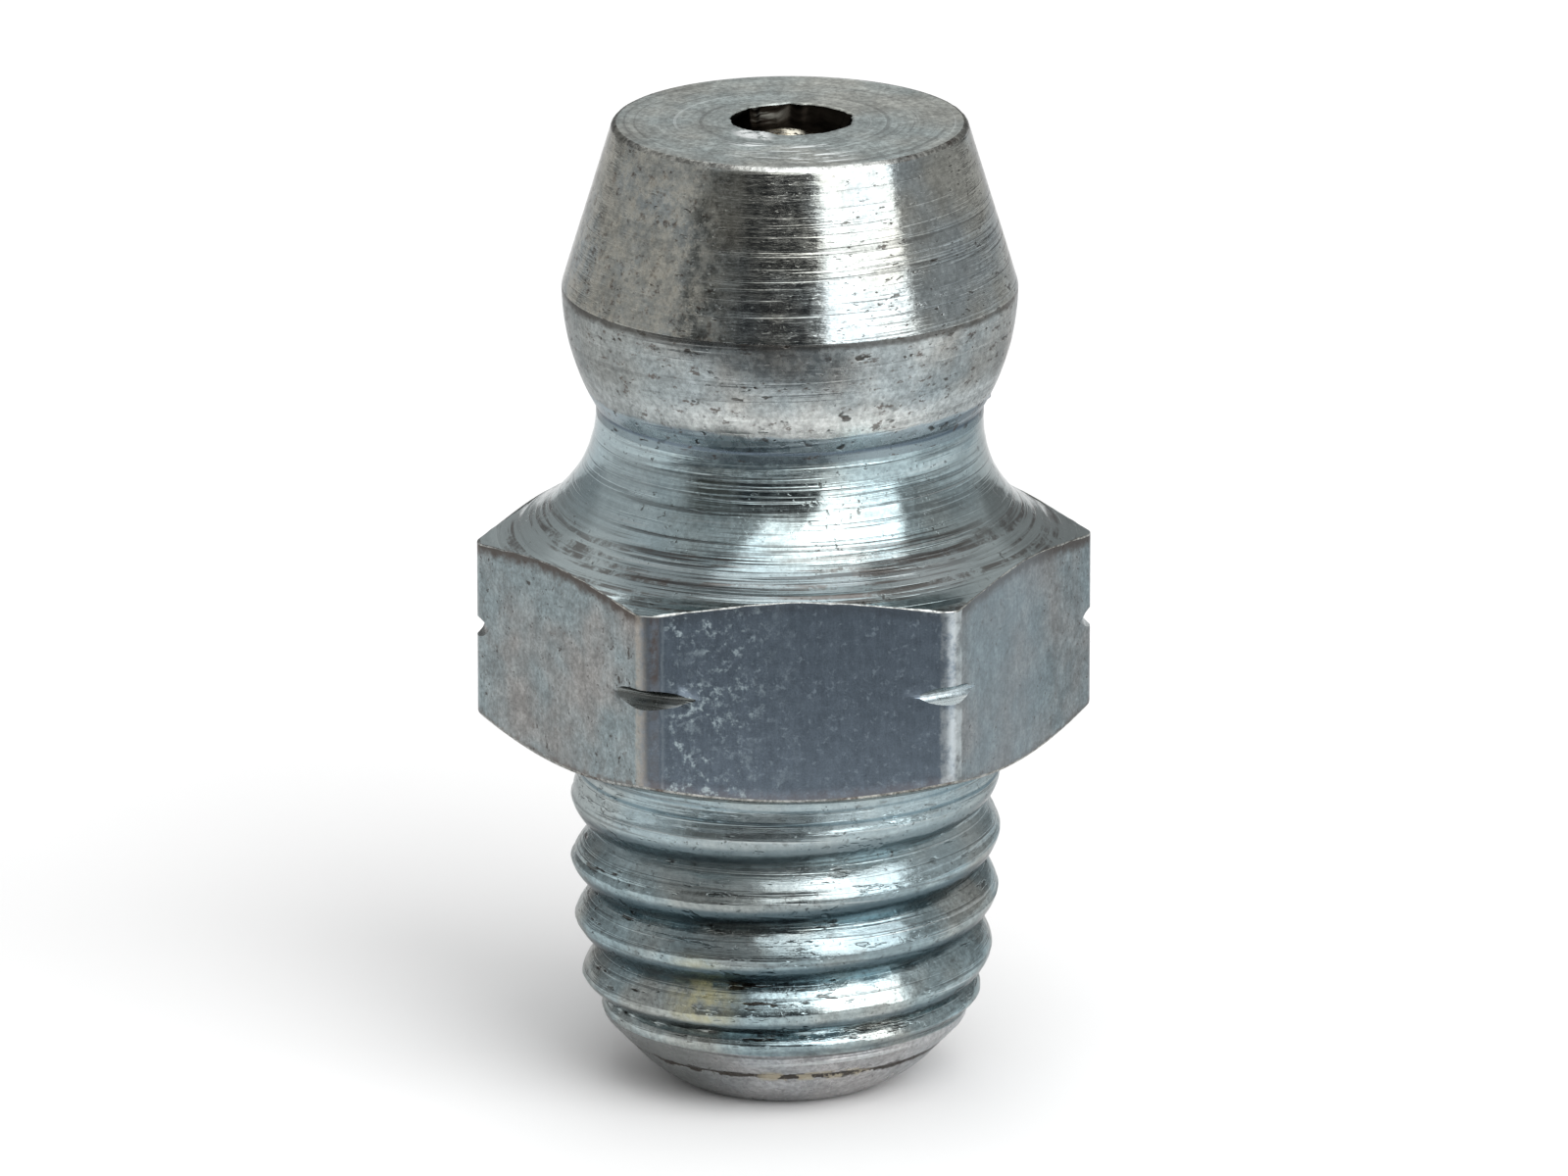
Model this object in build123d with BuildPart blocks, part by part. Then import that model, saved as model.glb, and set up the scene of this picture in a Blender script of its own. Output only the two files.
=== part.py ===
from build123d import *
from math import cos, radians, sin, sqrt, tan
import os

# Straight grease nipple with a 1/4 in - 28 thread, turned from hexagon bar, and the valve inside it.
# The Z axis is the nipple's own axis, +Z runs from the threaded shank up to the coupling head,
# and z = 0 is the face under the hexagon that pulls down on the lubricated part.
# Two flats of the hexagon face -Y and +Y.
# All sizes are in millimetres.

# Hexagon
across_flats = 7.94  # 5/16 in bar
bar_edge_radius = 0.28  # rounding along the bar's six edges
hexagon_height = 2.96  # from the seat face to the foot of the flare
seat_face_diameter = 7.40
underside_angle = 22.6  # slope of the chamfer under the hexagon
groove_height = 1.70  # of the round groove that crosses the six edges, the mark of an inch thread
groove_depth = 0.25  # below the rounded edge
groove_tool_radius = 0.22

# Flare, neck and coupling head
flare_radius = 1.98
neck_diameter = 5.72
neck_land = 0.14
cup_height = 1.80  # from the neck up to the head's widest ring
cone_height = 2.46  # from the widest ring to the top face
head_diameter = 6.72
top_face_diameter = 5.22
ring_break = 0.05  # rounding of the widest ring
rim_break = 0.08  # rounding of the top face's outer edge

# Threaded shank: the thread's outside diameter, its taper and the rolled-in nose
thread_diameter = 6.35
shank_length = 5.30  # from the seat face to the end of the nose
taper_length = 1.05
taper_end_diameter = 6.12
lead_length = 0.55
lead_end_diameter = 5.25
nose_length = 1.10
nose_face_diameter = 3.06
nose_crown = 0.166  # bulge of the nose's outline above its chord

# Valve
inlet_diameter = 1.80
seat_angle = 60  # included angle of the ball's conical seat
ball_diameter = 2.50
ball_recess = 0.15  # the ball's top below the top face
ball_side_clearance = 0.25
outlet_diameter = 2.00
lip_land = 0.45  # straight part of the outlet, through the rolled-in lip
lip_angle = 45  # slope of the lip's inner face, which carries the spring
spring_wire = 0.28
spring_side_clearance = 0.20
active_turns = 6
closed_turns = 1  # at each end
closed_gap = 0.02  # between a closed turn and the next
contact_gap = 0.02  # where the ball meets its seat, and the spring meets ball and lip

# Radii and levels that follow from them
corner_radius = across_flats / 2 / cos(radians(30)) - bar_edge_radius * (1 / cos(radians(30)) - 1)
neck_radius = neck_diameter / 2
flare_top = hexagon_height + flare_radius
neck_top = flare_top + neck_land
ring_level = neck_top + cup_height
top_level = ring_level + cone_height
outside_of_bar = neck_radius + flare_radius + across_flats  # beyond the bar's corners
nose_start = shank_length - nose_length
lead_start = nose_start - lead_length
taper_start = lead_start - taper_length

ball_radius = ball_diameter / 2
ball_level = top_level - ball_recess - ball_radius
half_seat = radians(seat_angle / 2)
seat_apex = ball_level + (ball_radius + contact_gap) / sin(half_seat)
chamber_radius = ball_radius + ball_side_clearance
seat_top = seat_apex - inlet_diameter / 2 / tan(half_seat)
seat_bottom = seat_apex - chamber_radius / tan(half_seat)
lip_level = -shank_length + lip_land
lip_slope = radians(lip_angle)
chamber_floor = lip_level + (chamber_radius - outlet_diameter / 2) * tan(lip_slope)

# Centre line of the spring's wire: under the ball at its top, on the lip's slope at its foot
coil_radius = chamber_radius - spring_side_clearance - spring_wire / 2
wire_standoff = spring_wire / 2 + contact_gap
coil_top = ball_level - sqrt((ball_radius + wire_standoff) ** 2 - coil_radius**2)
coil_foot = (
    chamber_floor
    - (chamber_radius - coil_radius) * tan(lip_slope)
    + wire_standoff / cos(lip_slope)
)
closed_pitch = spring_wire + closed_gap
closed_height = closed_turns * closed_pitch
active_height = coil_top - coil_foot - 2 * closed_height
active_pitch = active_height / active_turns


os.makedirs("parts", exist_ok=True)


# Body: hexagon bar, turned outside and bored through

with BuildPart() as body:
    with BuildSketch(Plane.XY.offset(-shank_length)):
        RegularPolygon(radius=across_flats / 2, side_count=6, major_radius=False)
        fillet(vertices(), radius=bar_edge_radius)
    extrude(amount=shank_length + top_level)

    # Outside profile: top face, cone, cup, neck, flare, hexagon zone, underside and shank
    with BuildSketch(Plane.XZ):
        with BuildLine():
            Line((0, top_level), (top_face_diameter / 2, top_level))
            Line((top_face_diameter / 2, top_level), (head_diameter / 2, ring_level))
            TangentArc(
                (head_diameter / 2, ring_level),
                (neck_radius, neck_top),
                tangent=(0, -1),
            )
            Line((neck_radius, neck_top), (neck_radius, flare_top))
            RadiusArc(
                (neck_radius, flare_top),
                (neck_radius + flare_radius, hexagon_height),
                -flare_radius,
            )
            Polyline(
                (neck_radius + flare_radius, hexagon_height),
                (outside_of_bar, hexagon_height),
                (
                    outside_of_bar,
                    (outside_of_bar - seat_face_diameter / 2) * tan(radians(underside_angle)),
                ),
                (seat_face_diameter / 2, 0),
                (thread_diameter / 2, 0),
                (thread_diameter / 2, -taper_start),
                (taper_end_diameter / 2, -lead_start),
                (lead_end_diameter / 2, -nose_start),
            )
            SagittaArc(
                (lead_end_diameter / 2, -nose_start),
                (nose_face_diameter / 2, -shank_length),
                nose_crown,
            )
            Polyline(
                (nose_face_diameter / 2, -shank_length),
                (0, -shank_length),
                (0, top_level),
            )
        make_face()
        fillet(vertices().filter_by_position(Axis.X, head_diameter / 2, head_diameter / 2), ring_break)
        fillet(
            vertices().filter_by_position(Axis.X, top_face_diameter / 2, top_face_diameter / 2),
            rim_break,
        )
    revolve(axis=Axis.Z, mode=Mode.INTERSECT)

    # Groove across the six edges, turned with a round-nosed tool
    with BuildSketch(Plane.XZ):
        with Locations((corner_radius - groove_depth + groove_tool_radius, groove_height)):
            Circle(groove_tool_radius)
    revolve(axis=Axis.Z, mode=Mode.SUBTRACT)

    # Inside profile: inlet, conical ball seat, spring chamber and the outlet through the lip
    with BuildSketch(Plane.XZ):
        with BuildLine():
            Polyline(
                (0, top_level),
                (inlet_diameter / 2, top_level),
                (inlet_diameter / 2, seat_top),
                (chamber_radius, seat_bottom),
                (chamber_radius, chamber_floor),
                (outlet_diameter / 2, lip_level),
                (outlet_diameter / 2, -shank_length),
                (0, -shank_length),
                close=True,
            )
        make_face()
    revolve(axis=Axis.Z, mode=Mode.SUBTRACT)

body.part.label = "body"
export_step(body.part, "parts/body.step")


# Check ball, held against the conical seat by the spring

with BuildPart() as check_ball:
    with BuildSketch(Plane.XZ):
        with BuildLine():
            CenterArc((0, ball_level), ball_radius, -90, 180)
            Line((0, ball_level + ball_radius), (0, ball_level - ball_radius))
        make_face()
    revolve(axis=Axis.Z)

check_ball.part.label = "check_ball"
export_step(check_ball.part, "parts/check_ball.step")


# Compression spring: a closed turn, the active turns and a closed turn of one wire,
# each stretch starting on the section in the XZ plane where the one below it ends

stretches = [
    (coil_foot, closed_pitch, closed_height),
    (coil_foot + closed_height, active_pitch, active_height),
    (coil_top - closed_height, closed_pitch, closed_height),
]

with BuildPart() as spring:
    for start, pitch, height in stretches:
        with BuildLine():
            Helix(pitch, height, coil_radius, center=(0, 0, start))
        with BuildSketch(Plane.XZ):
            with Locations((coil_radius, start)):
                Circle(spring_wire / 2)
        sweep(is_frenet=True)

spring.part.label = "spring"
export_step(spring.part, "parts/spring.step")
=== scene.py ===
import math

import bpy
import numpy as np
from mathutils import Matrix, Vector


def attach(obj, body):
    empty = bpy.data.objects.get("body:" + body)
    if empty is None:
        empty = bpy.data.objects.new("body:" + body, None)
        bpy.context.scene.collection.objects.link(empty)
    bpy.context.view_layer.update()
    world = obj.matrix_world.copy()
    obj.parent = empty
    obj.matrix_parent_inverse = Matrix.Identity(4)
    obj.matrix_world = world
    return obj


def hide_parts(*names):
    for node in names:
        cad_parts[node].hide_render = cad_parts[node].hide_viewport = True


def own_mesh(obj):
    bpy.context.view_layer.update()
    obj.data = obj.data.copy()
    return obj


# A zinc-plated grease nipple: the turned body, and the ball and spring of its valve.
# Shapes are worked out in millimetres on the nipple's own axis, +Z up, and made in metres.

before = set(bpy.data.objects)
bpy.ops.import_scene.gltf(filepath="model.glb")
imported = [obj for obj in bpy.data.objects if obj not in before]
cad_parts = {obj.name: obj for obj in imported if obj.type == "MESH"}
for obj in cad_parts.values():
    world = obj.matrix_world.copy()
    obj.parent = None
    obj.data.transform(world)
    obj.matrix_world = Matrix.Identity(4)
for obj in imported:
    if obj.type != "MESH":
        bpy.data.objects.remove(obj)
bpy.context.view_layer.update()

MM = 0.001

# Levels and radii of the body, mm
TOP, RING, NECK_TOP, FLARE_TOP = 9.34, 6.88, 5.08, 4.94
TOP_RADIUS, RING_RADIUS, NECK_RADIUS, FLARE_RADIUS = 2.61, 3.36, 2.86, 1.98
TOP_FACE = TOP - 0.004  # mean level of the top face's rings
RIM_BREAK, RING_BREAK = 0.06, 0.03
CUP_RADIUS, CUP_CENTRE = 3.49, -0.13  # the cup's arc, centred at the ring's level
HALF_FLATS, BAR_EDGE = 3.97, 0.28
CORNER_RADIUS = 4.541
SEAT_RADIUS, UNDERSIDE_SLOPE = 3.7, 0.416
GROOVE_LEVEL = 1.7
NOSE_START, NOSE_END = -4.2, -5.3
NOSE_ARC, NOSE_ARC_RADIUS, NOSE_ARC_LEVEL = 0.85, 1.9, -3.526
NOSE_FACE_RADIUS = 1.53
INLET_RADIUS, SEAT_TOP, SEAT_BOTTOM = 0.9, 8.921, 7.882
CHAMBER_RADIUS, CHAMBER_FLOOR = 1.5, -4.35
OUTLET_RADIUS, OUTLET_BREAK, LIP_LEVEL = 1.0, 0.03, -4.85

# Thread
PITCH = 0.907
FRONT_CREST = -2.605  # level of a crest on the -Y side

# Valve
BALL_RADIUS, BALL_LEVEL = 1.25, 7.94
WIRE_RADIUS, COIL_RADIUS = 0.14, 1.16
COIL_FOOT, COIL_TOP = -4.464, 7.138
CLOSED_PITCH, ACTIVE_TURNS = 0.3, 6

# Camera: where it looks from, how far, and its lens
AIM_LEVEL = 2.19
AZIMUTH, ELEVATION = -3.0, 16.8  # degrees
CAMERA_DISTANCE = 240.0
FRAME_WIDTH = 23.19  # mm seen across at that distance
SENSOR = 36.0


# ---- body: the grid of points

def edge_rounding():
    """Where the roundings of the hexagon's edges are centred, and half the angle that each takes up."""
    slant = math.radians(30)
    centre = (HALF_FLATS - BAR_EDGE) / math.cos(slant)
    end = centre + BAR_EDGE * math.cos(slant)
    return centre, math.atan2(BAR_EDGE * math.sin(slant), end)


def column_angles():
    """Angles of the grid's columns, closest together over the hexagon's rounded edges."""
    end = math.degrees(edge_rounding()[1])
    on_edge = np.linspace(0, end, 5, endpoint=False)
    on_flat = end + (30 - end) * np.linspace(0, 1, 16) ** 1.2
    half = np.concatenate([on_edge, on_flat])
    sector = np.concatenate([-half[:0:-1], half[:-1]])
    return np.radians(np.concatenate([60 * k + sector for k in range(6)]))


def hexagon_radius(theta):
    """Distance from the axis to the rounded hexagon, corners on the X axis."""
    centre, end = edge_rounding()
    off = np.radians(np.abs((np.degrees(theta) + 30) % 60 - 30))
    flat = HALF_FLATS / np.cos(math.radians(30) - off)
    inside = np.maximum(BAR_EDGE**2 - (centre * np.sin(off)) ** 2, 0)
    rounded = centre * np.cos(off) + np.sqrt(inside)
    return np.where(off < end + 1e-6, rounded, flat)


THETA = column_angles()
COLUMNS = len(THETA)
HEXAGON = hexagon_radius(THETA)


def per_column(value):
    """A number, or one for each column, as one for each column."""
    return np.broadcast_to(np.asarray(value, float), (COLUMNS,)).copy()


def between(start, end, count, ease=1.0):
    """Rows of (radius, level) from start to end, each a pair of numbers or columns, without start."""
    share = (np.arange(1, count + 1)[:, None] / count) ** ease
    return tuple(per_column(a) + (per_column(b) - per_column(a)) * share for a, b in zip(start, end))


def bend(start, knee, end, count):
    """Rows round a corner at knee, from start to end."""
    t = np.arange(1, count + 1)[:, None] / count
    return tuple(
        (1 - t) ** 2 * per_column(a) + 2 * t * (1 - t) * per_column(b) + t**2 * per_column(c)
        for a, b, c in zip(start, knee, end)
    )


def arc(centre, radius, angles):
    """Rows on an arc in the profile's plane, at these angles down from its +radius side."""
    angles = np.repeat(np.asarray(angles, float)[:, None], COLUMNS, axis=1)
    return centre[0] + radius * np.cos(angles), centre[1] - radius * np.sin(angles)


def smooth(t):
    """Eases a share between 0 and 1 in and out."""
    return t * t * (3 - 2 * t)


def random_line(seed, count=4096):
    return np.random.default_rng(seed).uniform(-1, 1, count)


def read_line(line, spot):
    """The line's value at a spot between its points. It closes on itself."""
    low = np.floor(spot).astype(int)
    share = smooth(spot - low)
    return line[low % len(line)] * (1 - share) + line[(low + 1) % len(line)] * share


def wavy(place, per_mm, seed):
    """Smooth random line, -1 to 1, read at place, with per_mm changes to the millimetre."""
    line = random_line(seed)
    return read_line(line, np.asarray(place, float) * per_mm + len(line) / 2)


def wavy_round(theta, waves, seed):
    """Smooth random line round the axis, -1 to 1, that closes on itself."""
    return read_line(random_line(seed, waves), np.asarray(theta) / math.tau % 1.0 * waves)


def dents(z, waves, per_mm, seed):
    """Smooth random unevenness of a round surface, -1 to 1.

    It has so many waves round the surface, and per_mm changes to the millimetre along it.
    """
    levels = 64
    grid = np.random.default_rng(seed).uniform(-1, 1, (waves, levels))
    around = THETA / math.tau % 1.0 * waves + 0 * z
    along = z * per_mm + levels / 2
    a, b = np.floor(around).astype(int), np.floor(along).astype(int)
    s, t = smooth(around - a), smooth(along - b)
    a, next_a, b, next_b = a % waves, (a + 1) % waves, b % levels, (b + 1) % levels
    near = grid[a, b] * (1 - s) + grid[next_a, b] * s
    far = grid[a, next_b] * (1 - s) + grid[next_a, next_b] * s
    return near * (1 - t) + far * t


def turning_rings(r, z, per_mm, seed):
    """Height of the rings a turning tool leaves, -1 to 1: the same all the way round but for slow changes."""
    along = r - z
    fade = 0.5 + 0.5 * wavy_round(THETA, 7, seed + 2)
    wide = wavy(along, per_mm, seed) * (0.6 + 0.4 * fade)
    fine = wavy(along, 2.7 * per_mm, seed + 1) * (1 - 0.5 * fade)
    return wide + 0.4 * fine


def hump(x, middle, half_width):
    """1 at middle, falling smoothly to 0 half_width away."""
    t = np.clip(np.abs(np.asarray(x, float) - middle) / half_width, 0, 1)
    return (1 - t * t) ** 2


def turn_apart(theta, degrees):
    """Signed angle in degrees from a direction, -180 to 180."""
    return (np.degrees(theta) - degrees + 180) % 360 - 180


def towards(degrees, width):
    """1 for the columns in a direction, falling smoothly to 0 so many degrees away."""
    return hump(turn_apart(THETA, degrees), 0, width)


# ---- body: its parts, from the inlet round the outside
# Each part is a list of strips: a finish, and the radii and levels of its rows.

INLET_SHIFT = (0.12, 0.15)  # the drilled inlet lies this far off the axis at its rim
INLET_MIDDLE, INLET_LIP = 9.12, 0.03  # level half way up to the ragged rim, and the rim's rounding
INLET_FLAKE = (-122, 30, 0.11)  # torn metal that leans in: direction and half-width in degrees, reach in mm
INLET_NICKS = ((118, 5, 0.035), (82, 6, 0.03), (20, 7, 0.02))  # the same, cut out of the rim


def inlet_rim_radius():
    """The inlet's ragged rim, measured from the nipple's axis."""
    x, y = INLET_SHIFT
    c, s = np.cos(THETA), np.sin(THETA)
    r = x * c + y * s + np.sqrt(INLET_RADIUS**2 - (x * s - y * c) ** 2)
    r += 0.018 * wavy_round(THETA, 34, seed=3) + 0.012 * wavy_round(THETA, 90, seed=4)
    away, width, reach = INLET_FLAKE
    ragged = 0.65 + 0.35 * wavy_round(THETA, 110, seed=5)
    r -= reach * ragged * towards(away, width)
    for away, width, depth in INLET_NICKS:
        r += depth * towards(away, width)
    return r


def inlet_rows():
    rim = inlet_rim_radius()
    middle = ((INLET_RADIUS + rim) / 2, INLET_MIDDLE)
    lip_start = (rim, TOP - INLET_LIP)
    low = between((INLET_RADIUS, SEAT_TOP), middle, 4)
    high = between(middle, lip_start, 4)
    lip = bend(lip_start, (rim, TOP_FACE), (rim + INLET_LIP, TOP_FACE), 3)
    return [("bore", *low), ("bore", *high), ("top", *lip)]


def top_rows():
    start = inlet_rim_radius() + INLET_LIP
    r, _ = between((start, TOP), (TOP_RADIUS - RIM_BREAK, TOP), 42)
    return [("top", r, TOP_FACE - (TOP - TOP_FACE) * turning_rings(r, 0.0, 9, seed=11))]


def cone_point(level):
    """The cone's radius and a level, as a point of the profile."""
    return TOP_RADIUS + (RING_RADIUS - TOP_RADIUS) * (TOP - level) / (TOP - RING), level


def cone_rows():
    start, end = cone_point(TOP - RIM_BREAK), cone_point(RING + RING_BREAK)
    rim = bend((TOP_RADIUS - RIM_BREAK, TOP_FACE), (TOP_RADIUS, TOP_FACE), start, 5)
    rim[0][1:4] -= 0.006 * (1 + wavy_round(THETA, 150, seed=21))
    r, z = between(start, end, 44)
    strong = 0.4 + 0.6 * hump(z, RING + 0.75, 0.75)
    r += 0.0035 * strong * turning_rings(r, z, 10, seed=31)
    return [("edge", *rim), ("cone", r, z)]


NECK_CHIP = (5.14, 0.1, -3, 3.0, 0.07)  # level, half height, direction and half-width in degrees, reach


def cup_rows():
    ring_end = RING_BREAK / CUP_RADIUS
    ring = bend(
        cone_point(RING + RING_BREAK),
        (RING_RADIUS, RING),
        (CUP_CENTRE + CUP_RADIUS * math.cos(ring_end), RING - RING_BREAK),
        4,
    )
    end = math.asin((RING - NECK_TOP) / CUP_RADIUS)
    r, z = arc((CUP_CENTRE, RING), CUP_RADIUS, np.linspace(ring_end, end, 31)[1:])
    r += 0.002 * turning_rings(r, z, 8, seed=41)
    level, half_height, away, width, reach = NECK_CHIP
    r += reach * hump(z, level, half_height) * towards(away, width)
    return [("cone", ring[0][:2], ring[1][:2]), ("cup", ring[0][2:], ring[1][2:]), ("cup", r, z)]


EDGE_BREAK = 0.012  # the flare ends this far inside the hexagon
SHARED_TURN = math.radians(58)  # down to here the flare's rows are level, and then follow its curved end


def flare_end():
    """Angle on the flare's arc at which it meets the hexagon, and the level there."""
    centre = NECK_RADIUS + FLARE_RADIUS
    angle = np.arccos((centre - HEXAGON + EDGE_BREAK) / FLARE_RADIUS)
    return angle, FLARE_TOP - FLARE_RADIUS * np.sin(angle)


def flare_rows():
    land = between((NECK_RADIUS, NECK_TOP), (NECK_RADIUS, FLARE_TOP), 3)
    end, _ = flare_end()
    angles = [per_column(a) for a in np.linspace(0, SHARED_TURN, 35)[1:]]
    angles += [SHARED_TURN + (end - SHARED_TURN) * k / 16 for k in range(1, 17)]
    angles = np.array(angles)
    r = NECK_RADIUS + FLARE_RADIUS - FLARE_RADIUS * np.cos(angles)
    z = FLARE_TOP - FLARE_RADIUS * np.sin(angles)
    deep = 0.004 + 0.008 * np.clip((angles - 0.35) / 0.5, 0, 1)
    height = deep * turning_rings(r, z, 7.5, seed=51)
    return [("cup", *land), ("flare", r + height * np.cos(angles) * 0.7, z + height * np.sin(angles))]


# The round groove in each edge, by the edge's direction in degrees: how deep, and half its height
GROOVES = {
    0: (0.12, 0.15), 60: (0.17, 0.15), 120: (0.22, 0.16),
    180: (0.13, 0.15), 240: (0.265, 0.15), 300: (0.2, 0.14),
}
GROOVE_OVER = 0.02  # the tool's widest part lies this far outside the edge
FLAT_SKIN = 0.003  # the flats lie this far inside the bar's size
FOOT_BREAK = (0.05, 0.04, 0.02)  # of the flats' lower edge: inwards, above it and below it


def groove_cut():
    """Depth and half height of the groove nearest to each column."""
    nearest = (np.round(np.degrees(THETA) / 60).astype(int) * 60) % 360
    return np.array([GROOVES[n] for n in nearest]).T


def groove_rows(flat, half):
    """Rows over the grooves, that stay on the flat where it isn't cut. half is half their spread."""
    depth, height = groove_cut()
    _, z = between((flat, GROOVE_LEVEL + half), (flat, GROOVE_LEVEL - half), 10)
    bowl = np.sqrt(np.maximum(1 - ((z - GROOVE_LEVEL) / height) ** 2, 0))
    cut = CORNER_RADIUS + GROOVE_OVER - (depth + GROOVE_OVER) * bowl
    return np.minimum(flat, cut), z


def hexagon_rows():
    flat = HEXAGON - FLAT_SKIN
    _, top_edge = flare_end()
    low_edge = (HEXAGON - SEAT_RADIUS) * UNDERSIDE_SLOPE
    burr = 0.01 + 0.006 * wavy_round(THETA, 160, seed=61)
    flat_start = (flat, top_edge - 2 * burr)
    edge = bend((HEXAGON - EDGE_BREAK, top_edge), (flat, top_edge + 0.2 * burr), flat_start, 3)

    depth, height = groove_cut()
    past = np.clip((CORNER_RADIUS + GROOVE_OVER - flat) / (depth + GROOVE_OVER), 0, 1)
    half = np.maximum(height * np.sqrt(1 - past**2), 0.015)
    above = between(flat_start, (flat, GROOVE_LEVEL + half), 9, 1.3)
    inwards, over, under = FOOT_BREAK
    flat_end, foot_end = (flat, low_edge + over), (flat - inwards, low_edge - under)
    seat_edge = (SEAT_RADIUS, 0.0)
    return [
        ("edge", *edge),
        ("flat", *above),
        ("groove", *groove_rows(flat, half)),
        ("flat", *between((flat, GROOVE_LEVEL - half), flat_end, 9)),
        ("edge", *bend(flat_end, (flat, low_edge), foot_end, 3)),
        ("under", *between(foot_end, seat_edge, 4)),
        ("under", *between(seat_edge, (thread_radius(0.0), 0.0), 5)),
    ]


CREST_LEVELS = (0.0, 2.0, 2.4, 2.84, 3.3, 3.7, 4.0, 4.2)  # mm below the seat face, as in the tables after it
CREST_RADII = (3.2, 3.2, 3.17, 3.15, 3.085, 3.05, 2.9, 2.78)
FULLNESS_LEVELS = (0.0, 0.12, 0.33, 0.7, 1.15, 3.1, 3.5, 3.9, 4.06, 4.2, 4.35, 4.5)
FULLNESS = (0.0, 0.05, 0.25, 0.5, 1.0, 1.0, 0.95, 0.75, 0.5, 0.2, 0.05, 0.0)
# A thread's section: two arcs that meet in an edge at its crest. Middles are mm above that edge.
UPPER_MIDDLE, UPPER_RADIUS = -0.34, 1.0
LOWER_MIDDLE, LOWER_RADIUS = 0.2, 0.76
ROOT_DEPTH, ROOT_ROUNDING = 0.335, 0.015
LAP_DEPTH = 0.022  # of the seam that rolling leaves along the crest
LAP_LEVELS, LAP_TURNS = (2.1, 2.6), (0.11, -0.02)  # the seam lies so many turns above the crest
RUNOUT_LEVEL, RUNOUT = -3.55, 1.5  # the last turn closes up below this level, the faster the lower
RUNOUT_SIDE = 30  # most on this side, degrees right of the front
RUNIN_LEVEL, RUNIN = -1.7, 0.08  # the first turn opens up above this level
ROWS_PER_PITCH = 26
LEVEL_ENDS = 0.9  # over this height at its two ends, the thread's rows turn level


def thread_turn(z):
    """Turns of the right-hand thread from the nearest crest, -0.5 to 0.5."""
    late = np.maximum(RUNOUT_LEVEL - z, 0)
    early = np.maximum(z - RUNIN_LEVEL, 0)
    side = 0.5 + 0.5 * np.cos(THETA + math.radians(90 - RUNOUT_SIDE))
    level = z - RUNOUT * side * late**2 - RUNIN * early
    turn = (level - FRONT_CREST) / PITCH - (THETA + math.pi / 2) / math.tau
    return turn - np.round(turn)


def fullness(z):
    """How much of the thread's depth is there: none at its ends, 1 between."""
    return np.interp(-z, FULLNESS_LEVELS, FULLNESS)


def sagitta(across, radius):
    """How far an arc has fallen, so far across from its middle."""
    return radius - np.sqrt(radius**2 - across**2)


def thread_dip(z):
    """How far the thread's surface lies inside its crests."""
    turn = thread_turn(z)
    above = turn * PITCH
    upper = sagitta(above - UPPER_MIDDLE, UPPER_RADIUS) - sagitta(UPPER_MIDDLE, UPPER_RADIUS)
    lower = sagitta(above - LOWER_MIDDLE, LOWER_RADIUS) - sagitta(LOWER_MIDDLE, LOWER_RADIUS)
    dip = np.where(above > 0, upper, lower)
    dip -= ROOT_ROUNDING * np.log1p(np.exp((dip - ROOT_DEPTH) / ROOT_ROUNDING))
    seam = np.interp(-z, LAP_LEVELS, LAP_TURNS)
    lap = hump(turn, seam, 0.05) * LAP_DEPTH * (0.7 + 0.3 * wavy_round(THETA + z, 23, seed=75))
    return fullness(z) * (dip + lap)


def thread_radius(z):
    z = np.asarray(z, float)
    return np.interp(-z, CREST_LEVELS, CREST_RADII) - thread_dip(z)


def lower_flank(z):
    """1 on the lower flanks of the thread, 0 elsewhere."""
    above = thread_turn(z) * PITCH
    flank = np.clip((-above - 0.08) / 0.07, 0, 1) * np.clip((0.43 + above) / 0.06, 0, 1)
    return flank * fullness(z)


def thread_levels():
    """Rows that follow the thread round the front, and come back to where they began behind."""
    spacing = PITCH / ROWS_PER_PITCH
    first = math.floor(-FRONT_CREST / spacing) - 1
    last = math.ceil((NOSE_START - FRONT_CREST) / spacing) + 1
    level = (FRONT_CREST + spacing * np.arange(first, last - 1, -1))[:, None]
    turned = np.interp(turn_apart(THETA, -90), (-180, -160, 160, 180), (0, -160, 160, 0))
    inside = np.clip(np.minimum(-level, level - NOSE_START) / LEVEL_ENDS, 0, 1)
    rows = level + turned / 360 * PITCH * smooth(inside)
    return np.vstack([rows, per_column(NOSE_START)[None, :]])


def thread_rows():
    z = thread_levels()
    worn = 0.004 * (1 + dents(z, 70, 6, seed=71)) + 0.0025 * (1 + dents(z, 150, 13, seed=72))
    return [("thread", thread_radius(z) - worn, z)]


FOLD_LEVEL, FOLD_DEPTH = -4.62, 0.05
# The thread's end stands above the nose's arc: mm below the seat face, and by how much
BULGE_LEVELS = (4.2, 4.35, 4.5, 4.7)
BULGES = (0.144, 0.09, 0.04, 0.0)


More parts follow.
